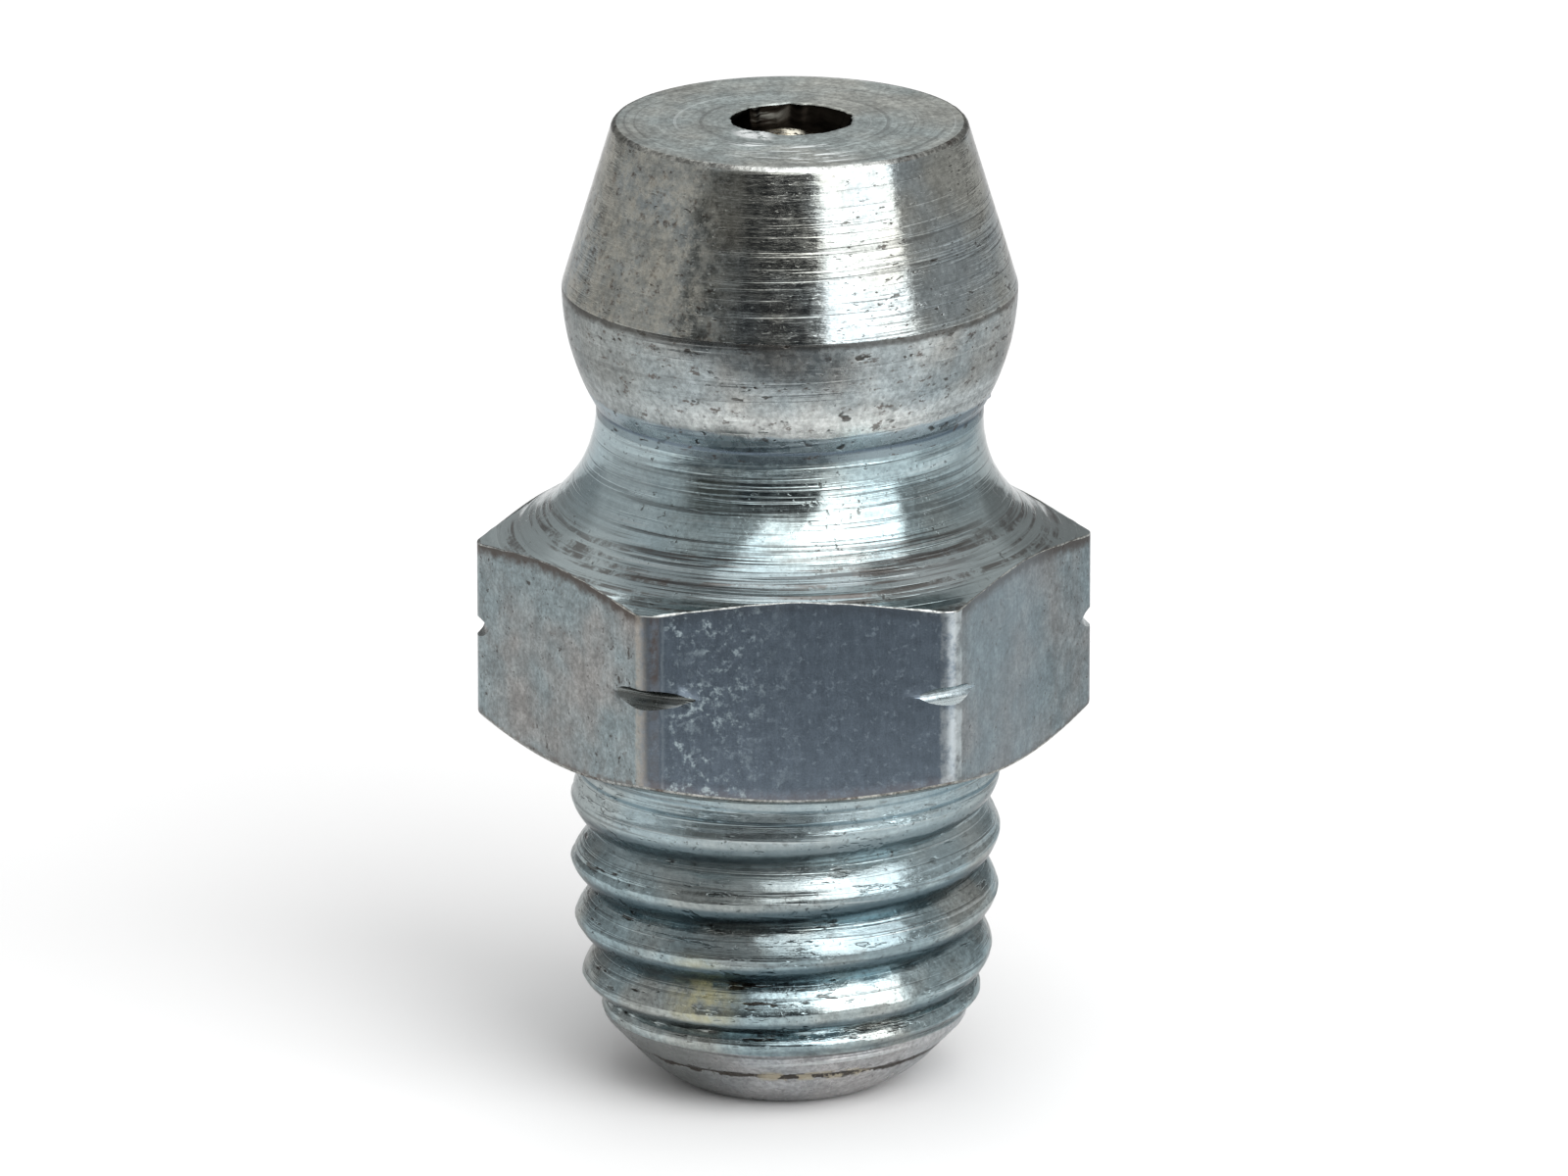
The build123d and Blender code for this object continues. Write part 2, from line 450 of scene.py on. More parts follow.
def nose_rows():
    first = math.asin((NOSE_ARC_LEVEL - NOSE_START) / NOSE_ARC_RADIUS)
    last = math.asin((NOSE_ARC_LEVEL - NOSE_END) / NOSE_ARC_RADIUS)
    angles = np.linspace(first, last, 41)[1:]
    r, z = arc((NOSE_ARC, NOSE_ARC_LEVEL), NOSE_ARC_RADIUS, angles)
    fold = FOLD_LEVEL + 0.03 * wavy_round(THETA, 14, seed=81)
    crease = hump(z, fold, 0.045) * (0.75 + 0.25 * wavy_round(THETA, 50, seed=82))
    out = np.interp(-z, BULGE_LEVELS, BULGES) - thread_dip(z) - FOLD_DEPTH * crease
    low = np.clip((-z - 4.5) * 2, 0, 1) * np.clip((z - NOSE_END) * 6, 0, 1)
    out -= 0.006 * (1 + wavy_round(THETA, 30, seed=83)) * low
    slope = angles[:, None]
    r = r + out * np.cos(slope)
    z = np.maximum(z - out * np.sin(slope), NOSE_END + 0.001)
    r[-1], z[-1] = NOSE_FACE_RADIUS, NOSE_END
    return [("nose", r, z)]


def inside_rows():
    """The rolled end's face, the outlet, the chamber and the ball's seat."""
    outlet_rim = (OUTLET_RADIUS + OUTLET_BREAK, NOSE_END)
    points = [
        ("nose", 4, outlet_rim),
        ("bore", 1, (OUTLET_RADIUS, NOSE_END + OUTLET_BREAK)),
        ("bore", 2, (OUTLET_RADIUS, LIP_LEVEL)),
        ("bore", 2, (CHAMBER_RADIUS, CHAMBER_FLOOR)),
        ("bore", 4, (CHAMBER_RADIUS, SEAT_BOTTOM)),
        ("bore", 3, (INLET_RADIUS, SEAT_TOP)),
    ]
    strips, start = [], (NOSE_FACE_RADIUS, NOSE_END)
    for finish, count, end in points:
        strips.append((finish, *between(start, end, count)))
        start = end
    return strips


# The head and the shank stand a little off the hexagon's axis, along +X: level and shift, mm
LEAN_LEVELS = (-0.5, 0.0, 3.2, 4.9)
LEANS = (0.026, 0.0, 0.0, 0.087)
LEAN_RADIUS, LEAN_BLEND = 1.6, 0.6  # inside this radius, round the valve, all stays on the axis


def lean(r, z):
    return np.interp(z, LEAN_LEVELS, LEANS) * np.clip((r - LEAN_RADIUS) / LEAN_BLEND, 0, 1)


def grid_faces(rows):
    """Quads between the rows, the last of which is joined to the first."""
    row = np.arange(rows)[:, None]
    column = np.arange(COLUMNS)[None, :]
    here, below = row * COLUMNS, ((row + 1) % rows) * COLUMNS
    right = (column + 1) % COLUMNS
    faces = np.stack([here + column, below + column, below + right, here + right], axis=-1)
    return faces.reshape(-1, 4).tolist()


def build_body():
    outside = (inlet_rows, top_rows, cone_rows, cup_rows, flare_rows, hexagon_rows, thread_rows, nose_rows)
    strips = [strip for part in (*outside, inside_rows) for strip in part()]
    slots = list(FINISHES)
    r = np.concatenate([s[1] for s in strips])
    z = np.concatenate([s[2] for s in strips])
    finish = np.concatenate([np.full(len(s[1]), slots.index(s[0])) for s in strips])
    finish = np.repeat(np.roll(finish, -1)[:, None], COLUMNS, axis=1)
    uncut = (finish == slots.index("groove")) & (r > HEXAGON - FLAT_SKIN - 0.0005)
    finish[uncut] = slots.index("flat")
    x, y = r * np.cos(THETA) + lean(r, z), r * np.sin(THETA)
    points = np.stack([x, y, z], axis=-1).reshape(-1, 3)

    mesh = make_mesh("nipple_body", points, grid_faces(len(r)))
    mesh.polygons.foreach_set("material_index", finish.ravel())
    for name, value in (("hollow", thread_dip), ("lower_flank", lower_flank)):
        share = mesh.attributes.new(name, "FLOAT", "POINT")
        share.data.foreach_set("value", value(np.minimum(z, 0)).ravel().astype(np.float32))
    mesh.set_sharp_from_angle(angle=math.radians(38))
    return mesh


def make_mesh(name, points, faces):
    """A smooth mesh from points in millimetres."""
    mesh = bpy.data.meshes.new(name)
    mesh.from_pydata((np.asarray(points) * MM).tolist(), [], faces)
    mesh.polygons.foreach_set("use_smooth", np.ones(len(mesh.polygons), bool))
    mesh.update()
    return mesh


def place(name, data):
    """A new object of a mesh, lamp or camera."""
    thing = bpy.data.objects.new(name, data)
    bpy.context.scene.collection.objects.link(thing)
    return thing


# ---- valve

def tube_faces(rings, sides):
    """Quads between rings of points. They face outwards where the rings run down."""
    return [
        (k * sides + s, (k + 1) * sides + s, (k + 1) * sides + n, k * sides + n)
        for k in range(rings - 1)
        for s, n in zip(range(sides), [*range(1, sides), 0])
    ]


def ball_mesh():
    rings, sides = 39, 80
    tilt = np.pi * np.arange(1, rings + 1) / (rings + 1)
    turn = math.tau * np.arange(sides) / sides
    r, z = BALL_RADIUS * np.sin(tilt), BALL_LEVEL + BALL_RADIUS * np.cos(tilt)
    points = [(a * math.cos(t), a * math.sin(t), h) for a, h in zip(r, z) for t in turn]
    points += [(0, 0, BALL_LEVEL + BALL_RADIUS), (0, 0, BALL_LEVEL - BALL_RADIUS)]
    top, foot = len(points) - 2, len(points) - 1
    last = (rings - 1) * sides
    caps = [(top, s, (s + 1) % sides) for s in range(sides)]
    caps += [(foot, last + (s + 1) % sides, last + s) for s in range(sides)]
    return make_mesh("valve_ball", points, tube_faces(rings, sides) + caps)


def coil_level(turns):
    """Level of the wire's centre after so many turns from the foot."""
    knots = [0, 1, 1 + ACTIVE_TURNS, 2 + ACTIVE_TURNS]
    levels = [COIL_FOOT, COIL_FOOT + CLOSED_PITCH, COIL_TOP - CLOSED_PITCH, COIL_TOP]
    return np.interp(turns, knots, levels)


def spring_mesh():
    steps, sides = 64, 14
    turns = np.arange(0, (2 + ACTIVE_TURNS) * steps + 1) / steps
    out = np.stack([np.cos(math.tau * turns), np.sin(math.tau * turns), 0 * turns], axis=-1)
    centre = COIL_RADIUS * out
    centre[:, 2] = coil_level(turns)
    along = np.gradient(centre, axis=0)
    along /= np.linalg.norm(along, axis=1)[:, None]
    up = np.cross(out, along)
    angle = math.tau * np.arange(sides) / sides
    ring = (
        centre[:, None]
        + WIRE_RADIUS * np.cos(angle)[None, :, None] * out[:, None]
        + WIRE_RADIUS * np.sin(angle)[None, :, None] * up[:, None]
    )
    last = (len(turns) - 1) * sides
    ends = [tuple(reversed(range(sides))), tuple(last + s for s in range(sides))]
    faces = [(a, d, c, b) for a, b, c, d in tube_faces(len(turns), sides)]
    mesh = make_mesh("valve_spring", ring.reshape(-1, 3), faces + ends)
    mesh.set_sharp_from_angle(angle=math.radians(50))
    return mesh


# ---- materials

class Nodes:
    """Short names for the nodes the finishes are made of."""

    def __init__(self, name):
        self.material = bpy.data.materials.new(name)
        self.material.use_nodes = True
        self.tree = self.material.node_tree
        self.shader = self.tree.nodes["Principled BSDF"]

    def feed(self, socket, value):
        if isinstance(value, bpy.types.NodeSocket):
            self.tree.links.new(value, socket)
        else:
            socket.default_value = value

    def node(self, kind, inputs=None, output=0, **settings):
        """One output of a new node."""
        node = self.tree.nodes.new("ShaderNode" + kind)
        for key, value in settings.items():
            setattr(node, key, value)
        for key, value in (inputs or {}).items():
            self.feed(node.inputs[key], value)
        return node.outputs[output]

    def math(self, operation, a, b=0):
        return self.node("Math", {0: a, 1: b}, operation=operation)

    def plus(self, a, b):
        return self.math("ADD", a, b)

    def minus(self, a, b):
        return self.math("SUBTRACT", a, b)

    def times(self, *values):
        """Product of values. A tuple among them stands for its own product."""
        first, *others = (self.times(*v) if isinstance(v, tuple) else v for v in values)
        for other in others:
            first = self.math("MULTIPLY", first, other)
        return first

    def apart(self, value, middle=0):
        """How far value lies from middle, either way."""
        return self.math("ABSOLUTE", self.minus(value, middle))

    def combine(self, x, y, z):
        return self.node("CombineXYZ", {0: x, 1: y, 2: z})

    def split(self, vector):
        return [self.node("SeparateXYZ", {0: vector}, axis) for axis in range(3)]

    def object_place(self):
        """The object's own coordinates."""
        return self.node("TexCoord", output="Object")

    def noise(self, place, scale, detail, roughness, seed):
        inputs = {"Vector": place, "W": seed, "Scale": scale, "Detail": detail, "Roughness": roughness}
        return self.node("TexNoise", inputs, "Fac", noise_dimensions="4D")

    def steps(self, value, low, high, to_low=0, to_high=1):
        """Goes smoothly from to_low to to_high while value goes from low to high."""
        ends = {"From Min": low, "From Max": high, "To Min": to_low, "To Max": to_high}
        return self.node("MapRange", {"Value": value, **ends}, interpolation_type="SMOOTHSTEP")

    def band(self, value, start, full, last, end):
        """1 from full to last, falling to 0 at start and end."""
        return self.times(self.steps(value, start, full), self.steps(value, end, last))

    def mix(self, share, a, b):
        a, b = ((*c, 1) if isinstance(c, tuple) else c for c in (a, b))
        return self.node("Mix", {"Factor": share, "A": a, "B": b}, "Result", data_type="RGBA")


# The two colours of each finish, which drift into each other
COLOURS = {
    "zinc_top": ((0.265, 0.304, 0.3), (0.295, 0.305, 0.282)),
    "zinc_cone": ((0.32, 0.36, 0.37), (0.35, 0.355, 0.325)),
    "zinc_cup": ((0.345, 0.39, 0.4), (0.39, 0.385, 0.36)),
    "zinc_flare": ((0.34, 0.435, 0.46), (0.37, 0.43, 0.43)),
    "zinc_edge": ((0.3, 0.31, 0.3), (0.36, 0.36, 0.33)),
    "zinc_flat": ((0.217, 0.264, 0.276), (0.258, 0.256, 0.248)),
    "zinc_groove": ((0.38, 0.46, 0.5), (0.4, 0.46, 0.48)),
    "zinc_under": ((0.315, 0.375, 0.39), (0.355, 0.365, 0.34)),
    "zinc_thread": ((0.31, 0.4, 0.425), (0.37, 0.39, 0.37)),
    "zinc_nose": ((0.355, 0.375, 0.39), (0.38, 0.375, 0.375)),
    # the bore's near-black is oil and painted shade deep inside it
    "zinc_bore": ((0.003, 0.0026, 0.002), (0.008, 0.0065, 0.005)),
    "ball_steel": ((0.05, 0.04, 0.025), (0.03, 0.025, 0.018)),
    "spring_steel": ((0.36, 0.35, 0.33), (0.22, 0.2, 0.17)),
}

# Bare and scratched metal, and painted highlights and glints
PALE_SCRATCH_AND_HIGHLIGHT = (0.7, 0.75, 0.75)
BURNISHED_AND_HIGHLIGHT = (0.62, 0.64, 0.62)
PAINTED_GLINT = (0.85, 0.9, 0.9)
TORN = (0.85, 0.88, 0.88)
SCUFF = (0.5, 0.6, 0.62)
FLECK = (0.33, 0.4, 0.45)
OIL_BROWN, OIL_GOLD, OIL_PALE = (0.16, 0.135, 0.09), (0.62, 0.5, 0.3), (0.95, 0.88, 0.72)
PAINTED_BALL_GLINT = (0.98, 0.94, 0.78)

# Shades of the plating, many of them painted light, painted shade and painted reflections
DARK = (0.11, 0.12, 0.12)
SCORE = (0.06, 0.06, 0.06)
CUP_LEFT_SHADE, CUP_LOW_LEFT_REFLECTION, CUP_LOW_REFLECTION = (0.2, 0.225, 0.225), (0.36, 0.39, 0.39), (0.58, 0.6, 0.585)
NECK_BAND_REFLECTION, NECK_RINGS = (0.38, 0.465, 0.51), (0.12, 0.155, 0.185)
NECK_LINE_SHADE, NECK_EDGE_SHADE = (0.1, 0.135, 0.17), (0.25, 0.31, 0.33)
FLARE_LEFT_LIGHT, FLARE_RIGHT_SHADE, SHOULDER_LIGHT = (0.42, 0.53, 0.57), (0.26, 0.32, 0.335), (0.6, 0.68, 0.68)
FLARE_FOOT, FLARE_FRONT_SHADE = (0.25, 0.29, 0.3), (0.155, 0.185, 0.195)
FRONT_FLAT_SHADE, RIGHT_FLAT_LIGHT = (0.205, 0.252, 0.302), (0.33, 0.385, 0.42)
GROOVE_LEFT_SHADE = (0.135, 0.14, 0.13)
VALLEY_SHADE, UNDER_CREST_SHADE = (0.1, 0.17, 0.205), (0.065, 0.105, 0.125)
SHANK_TOP, SECOND_TURN_SHADE = (0.36, 0.44, 0.465), (0.17, 0.215, 0.23)
NOSE_LEFT_SHADE = (0.165, 0.175, 0.17)
BARE_BORE_AND_LIGHT = (0.09, 0.09, 0.08)

# Dirt and stains
PIT = (0.035, 0.028, 0.022)
BROWN = (0.095, 0.075, 0.065)
DIRT = (0.06, 0.046, 0.038)
CORNER_BROWN = (0.12, 0.09, 0.075)
FOOT_LINE = (0.12, 0.105, 0.11)
HAZE = (0.42, 0.4, 0.34)
YELLOW = (0.5, 0.47, 0.27)
TAN = (0.36, 0.33, 0.29)
NOSE_TAN = (0.4, 0.36, 0.27)


class Finish(Nodes):
    """A metal finish in the making: a colour, a normal and a roughness that layers are added to."""

    def __init__(self, name):
        super().__init__(name)
        self.mm = self.node("VectorMath", {0: self.object_place(), 1: (1 / MM,) * 3}, operation="MULTIPLY")
        self.x, self.y, self.z = self.split(self.mm)
        self.aside = self.apart(self.x)
        square = self.plus(self.math("POWER", self.x, 2), self.math("POWER", self.y, 2))
        self.radius = self.math("SQRT", square)
        self.along = self.minus(self.radius, self.z)
        self.colour = self.mix(self.patches(0.55, 3, 0.55, 0, 0.38, 0.62), *COLOURS[name])
        self.normal = None
        self.matt = None

    def round_axis(self, squeeze):
        """Coordinates for patterns drawn out round the axis, the more the smaller squeeze is."""
        return self.combine(self.times(self.x, squeeze), self.times(self.y, squeeze), self.along)

    def streaks(self, squeeze, scale, detail, roughness, seed):
        """Noise drawn out round the axis."""
        return self.noise(self.round_axis(squeeze), scale, detail, roughness, seed)

    def patches(self, scale, detail, roughness, seed, low, high, *to):
        """Patches of noise that begin at low and are full at high."""
        return self.steps(self.noise(self.mm, scale, detail, roughness, seed), low, high, *to)

    def past(self, **ends):
        """1 where x, y, z, aside or radius is past its second value, 0 before its first."""
        return self.times(*(self.steps(getattr(self, name), *e) for name, e in ends.items()))

    def moved(self, value, noise, reach):
        """value moved up and down by noise, so that an edge drawn by it runs ragged."""
        return self.plus(value, self.times(self.minus(noise, 0.5), reach))

    def layer(self, mask, colour, amount=1):
        """Lays colour over the finish where mask is, or where all masks of a tuple are."""
        self.colour = self.mix(self.times(mask, amount), self.colour, colour)

    def frost(self, mask, colour, amount, matt):
        """Scratched or powdery skin: a layer that scatters light as well as mirroring it."""
        self.layer(mask, colour, amount)
        share = self.times(mask, matt)
        self.matt = share if self.matt is None else self.math("MAXIMUM", self.matt, share)

    def shade(self, value, low, high):
        """Darkens or lightens the colour from low to high times, as value goes from about 0.35 to 0.65."""
        inputs = {0: self.colour, "Scale": self.steps(value, 0.34, 0.66, low, high)}
        self.colour = self.node("VectorMath", inputs, operation="SCALE")

    def relief(self, height, depth_mm):
        below = {} if self.normal is None else {"Normal": self.normal}
        inputs = {"Strength": 1, "Distance": depth_mm * MM, "Height": height}
        self.normal = self.node("Bump", {**inputs, **below})

    def mottle(self, depth, dark, uneven=1):
        """Cloudy crystals of the plating, light and dark, and how uneven they leave the surface."""
        coarse = self.noise(self.mm, 2.4, 5, 0.65, 3)
        fine = self.noise(self.mm, 13, 4, 0.65, 5)
        self.shade(coarse, 1 - depth * 0.7, 1 + depth * 0.7)
        self.shade(fine, 1 - depth, 1 + depth)
        self.layer(self.steps(coarse, 0.56, 0.7), DARK, dark)
        if uneven:
            self.relief(coarse, 0.01 * uneven)
            self.relief(fine, 0.004 * uneven)

    def rings(self, dark, light, depth, score_depth, where=1):
        """What the turning tool leaves: fine even lines, and long scores that stand out, dark or bright."""
        even = self.streaks(0.02, 20, 3, 0.7, 11)
        self.shade(even, 1 - dark * 0.25, 1 + dark * 0.25)
        self.relief(self.times(even, where), depth)
        single = self.streaks(0.016, 13, 1.5, 0.6, 17)
        height = self.minus(self.steps(single, 0.6, 0.68), self.steps(single, 0.41, 0.33))
        self.relief(self.times(height, where), score_depth)
        self.layer((self.steps(single, 0.39, 0.33), where), SCORE, dark * 1.3)
        # pale scores: scratches that scatter light, and painted glints where the cone keeps them to its front
        self.frost((self.steps(single, 0.64, 0.69), where), PALE_SCRATCH_AND_HIGHLIGHT, light, light * 0.5)

    def pits(self, amount, size, share, squeeze=None, where=1):
        """Small dark pits and specks that come in clusters."""
        place = self.mm if squeeze is None else self.round_axis(squeeze)
        cluster = self.patches(1.3, 3, 0.6, 23, 0.62 - share * 0.5, 0.72 - share * 0.3)
        speck = self.steps(self.noise(place, size, 3, 0.6, 29), 0.62, 0.68)
        small = self.steps(self.noise(place, size * 2.3, 2, 0.5, 37), 0.66, 0.71)
        mask = self.times(self.math("MAXIMUM", speck, small), cluster, where)
        self.layer(mask, PIT, amount)
        self.relief(self.times(mask, -1), 0.006 * amount)

    def tarnish(self, amount):
        """Brownish patches."""
        self.layer(self.patches(2.6, 6, 0.72, 31, 0.53, 0.66), BROWN, amount)

    def done(self, rough, anisotropic=0, rim=0.6):
        """Joins the layers to the shader. rim is how strongly the skin mirrors at a grazing angle."""
        inputs = self.shader.inputs
        self.feed(inputs["Base Color"], self.colour)
        inputs["Specular Tint"].default_value = (rim, rim, rim, 1)
        self.feed(inputs["Roughness"], self.patches(6, 4, 0.6, 3, 0.36, 0.64, *rough))
        self.feed(inputs["Metallic"], 1.0 if self.matt is None else self.minus(1, self.matt))
        if anisotropic:
            inputs["Anisotropic"].default_value = anisotropic
            inputs["Anisotropic Rotation"].default_value = 0.25
            self.feed(inputs["Tangent"], self.node("Tangent", direction_type="RADIAL", axis="Z"))
        if self.normal is not None:
            self.feed(inputs["Normal"], self.normal)


def top_finish(f):
    """Faced off square: even rings, painted glints on those in front of the inlet, and torn metal at its rim.
    """
    f.matt = 0.6  # its grain scatters more light than it mirrors
    f.mottle(0.3, 0.14, 0.3)
    wide = f.streaks(0.02, 5.5, 2, 0.6, 7)
    f.shade(wide, 0.88, 1.12)
    f.relief(wide, 0.01)
    f.rings(0.35, 0.35, 0.006, 0.004, 0.75)
    close = f.streaks(0.02, 10, 2, 0.6, 7)
    broken = f.streaks(0.25, 9, 3, 0.6, 13)
    front = f.past(y=(-1.05, -1.25), aside=(1.1, 0.5))
    # pale matt dashes on the rings in front of the inlet: painted glints
    f.frost((f.steps(close, 0.5, 0.56), f.steps(broken, 0.47, 0.53), front), PAINTED_GLINT, 0.9, 0.7)
    torn = f.times(f.band(f.x, -0.85, -0.65, -0.35, -0.15), f.past(y=(-0.3, -0.5), radius=(1.12, 1)))
    f.frost((torn, f.patches(6, 3, 0.7, 33, 0.4, 0.5)), TORN, 0.8, 0.7)
    f.pits(0.5, 9, 0.3)
    f.done((0.3, 0.42), 0.55, rim=0.45)


def cone_finish(f):
    """Bright turned cone with scores round the front of its lower half, whose pale lines are painted glints,
    duller and more pitted on the left.
    """
    f.mottle(0.18, 0.12, 0)
    # the scores are kept to the front middle, where their pale lines are painted glints
    f.rings(0.4, 0.2, 0.002, 0.008, f.past(z=(8.8, 7.8, 0.15, 1), x=(-1.6, 1.5, 0.1, 0.9)))
    f.relief(f.streaks(0.25, 14, 3, 0.7, 19), 0.005)
    aside = f.steps(f.apart(f.x, -0.2), 0.6, 1.1, 0.2, 1)
    f.pits(0.85, 8, 0.75, squeeze=0.45, where=aside)
    left = f.past(x=(-0.6, -1.6))
    f.layer((left, f.patches(6.5, 5, 0.8, 89, 0.55, 0.61)), BROWN, 0.9)
    f.frost((left, f.patches(4, 5, 0.8, 93, 0.4, 0.62)), HAZE, 0.6, 0.32)
    f.done((0.12, 0.2), 0.55)


def cup_finish(f):
    """The cup under the ring: painted shade on its left and just under the ring, lighter painted reflections
    low down and in a band above the neck, and darker round the neck, with painted shade in the corner there.
    """
    level = f.moved(f.z, f.streaks(0.4, 3, 4, 0.7, 67), 0.2)
    # painted shade on the left, and lighter painted reflections low down, less of them on the left
    f.layer(f.past(x=(-1, -2.4)), CUP_LEFT_SHADE, 0.65)
    f.layer(f.steps(level, 5.95, 5.55), f.mix(f.past(x=(-2, -0.8)), CUP_LOW_LEFT_REFLECTION, CUP_LOW_REFLECTION))
    f.mottle(0.22, 0.1, 0.2)
    # a lighter, bluer band above the neck: painted reflection
    f.layer(f.steps(level, 5.4, 5.34), NECK_BAND_REFLECTION, 0.85)
    f.rings(0.3, 0.3, 0.003, 0.003, 0.6)
    lines = f.steps(f.streaks(0.02, 13, 2, 0.6, 27), 0.47, 0.41)
    f.layer((lines, f.steps(level, 5.42, 5.34)), NECK_RINGS, 0.7)
    # dark lines at the corner where the cup meets the neck: painted shade
    f.layer(f.steps(f.z, NECK_TOP + 0.06, NECK_TOP + 0.01), NECK_LINE_SHADE, 0.85)
    f.layer(f.steps(f.z, NECK_TOP - 0.01, NECK_TOP - 0.04), NECK_EDGE_SHADE, 0.8)
    f.layer(f.steps(f.streaks(0.4, 9, 4, 0.75, 95), 0.58, 0.64), BROWN, 0.8)
    f.pits(0.85, 6, 0.62, squeeze=0.4)
    # darker just under the ring: painted shade
    f.layer(f.steps(level, RING - 0.14, RING - 0.04), PIT, 0.72)
    f.done((0.2, 0.32), 0.3)


def flare_finish(f):
    """The flare, with heavier rings towards its foot and brown dirt out at the hexagon's corners, painted
    light on its left and its shoulders, and painted shade on its right.
    """
    f.mottle(0.18, 0.1, 0)
    out = f.past(aside=(2, 3))
    turned = f.steps(out, 0, 1, 1, 0.2)
    # painted light on the left, painted shade on the right
    f.frost(f.past(x=(-1.4, -2.3)), FLARE_LEFT_LIGHT, 0.55, 0.17)
    f.layer(f.past(x=(1.7, 2.5)), FLARE_RIGHT_SHADE, 0.55)
    f.rings(0.4, 0.3, 0.0025, 0.009, turned)
    # painted light on the shoulders, out at the hexagon's corners
    f.layer((out, f.past(radius=(3, 3.6))), SHOULDER_LIGHT, f.past(x=(-1, 1, 0.7, 0.62)))
    flare_foot(f, turned)
    arcs = f.steps(f.streaks(0.05, 6, 3, 0.6, 45), 0.5, 0.42)
    patch = f.patches(2, 6, 0.75, 41, 0.6, 0.47)
    f.layer((arcs, patch, f.past(radius=(3.05, 3.6))), BROWN, 0.75)
    f.pits(0.7, 9, 0.4)
    f.done((0.1, 0.2), 0.55, rim=0.72)


def flare_foot(f, turned):
    """Heavy rings near the foot of the flare, duller at its very foot, with painted shade at its front and
    painted light to the right.
    """
    foot = f.times(f.past(radius=(2.95, 3.5, 0.35, 1)), f.past(radius=(4.15, 3.85)), turned)
    far = f.times(foot, f.past(radius=(3.3, 3.7)))
    f.frost(far, FLARE_FOOT, 0.75, 0.2)
    heavy = f.streaks(0.03, 10, 2, 0.6, 39)
    f.layer((foot, f.steps(heavy, 0.475, 0.41)), SCORE, 0.9)
    f.layer((foot, f.steps(heavy, 0.6, 0.68)), PALE_SCRATCH_AND_HIGHLIGHT, 0.4)
    # painted shade at the front of the foot, painted light to its right
    f.layer((far, f.band(f.x, -1.9, -1.1, 0.8, 1.5)), FLARE_FRONT_SHADE, 0.5)
    f.layer((far, f.band(f.x, 1.1, 1.6, 2.5, 3)), PALE_SCRATCH_AND_HIGHLIGHT, 0.25)
    f.relief(f.times(heavy, turned), 0.006)


FRONT_FLAT_Y = (-3.88, -3.94)  # past these, a point is on the front flat


def edge_finish(f):
    """Sharp turned edges: bare metal with a painted highlight over the front flat and at the rim's front,
    else brown.
    """
    f.mottle(0.3, 0.3)
    f.tarnish(0.9)
    # bare metal at the front flat's top edge and at the rim's front, painted pale as a highlight
    brow = f.past(y=FRONT_FLAT_Y, z=(1.5, 2))
    rim = f.past(z=(9.2, 9.28), y=(-2.1, -2.4), x=(-1.2, -0.2))
    f.frost(f.math("MAXIMUM", brow, rim), BURNISHED_AND_HIGHLIGHT, 0.95, 0.6)
    f.shade(f.noise(f.mm, 12, 3, 0.7, 71), 0.55, 1.4)
    f.done((0.18, 0.3))


def flat_finish(f):
    """The hexagon's flats: bar skin with fine grain, brown along its edges, painted light on the right flat,
    painted highlights on the edges beside the front flat, scuffed at the front left.
    """
    front = f.past(y=FRONT_FLAT_Y)
    coarse = f.noise(f.mm, 3, 6, 0.7, 3)
    ragged = f.noise(f.mm, 6, 5, 0.7, 47)
    bar_skin(f, front, coarse)
    flat_borders(f, front, ragged)
    # painted light on the right flat
    f.layer(f.past(x=(2.1, 2.7), y=(-1, -2)), RIGHT_FLAT_LIGHT, 0.28)
    corner_left(f, ragged)
    corner_right(f, coarse, ragged)
    scuffed = (front, f.past(x=(0.3, -1.4)), f.past(x=(-2, -1.9)))
    cluster = f.patches(1.8, 3, 0.6, 57, 0.4, 0.54, 0.35, 1)
    f.frost((f.patches(7.5, 5, 0.75, 53, 0.51, 0.64), scuffed, cluster), SCUFF, 0.7, 0.4)
    f.done((0.275, 0.305), rim=0.9)


def bar_skin(f, front, coarse):
    """The flats' own skin: uneven grey with pits and stains, and a smooth, bluer painted shade over the front
    flat.
    """
    f.shade(coarse, 0.8, 1.14)
    f.shade(f.noise(f.mm, 16, 3, 0.6, 5), 0.8, 1.12)
    f.shade(f.noise(f.mm, 8, 4, 0.7, 55), 0.88, 1.1)
    f.layer(f.patches(7, 6, 0.8, 97, 0.56, 0.65), BROWN, 0.5)
    f.pits(0.8, 8, 0.55, where=f.minus(1, f.times(front, 0.9)))
    # the front flat's smooth bluish colour: painted shade
    f.layer(front, FRONT_FLAT_SHADE)
    f.shade(f.noise(f.mm, 34, 2, 0.6, 51), 0.93, 1.07)
    f.shade(coarse, 0.965, 1.035)
    drawn = f.combine(f.times(f.x, 12), f.times(f.y, 12), f.times(f.z, 1.6))
    f.shade(f.noise(drawn, 1, 4, 0.7, 43), 0.93, 1.07)
    f.frost((f.patches(13, 3, 0.65, 69, 0.57, 0.66), front), FLECK, 0.45, 0.15)


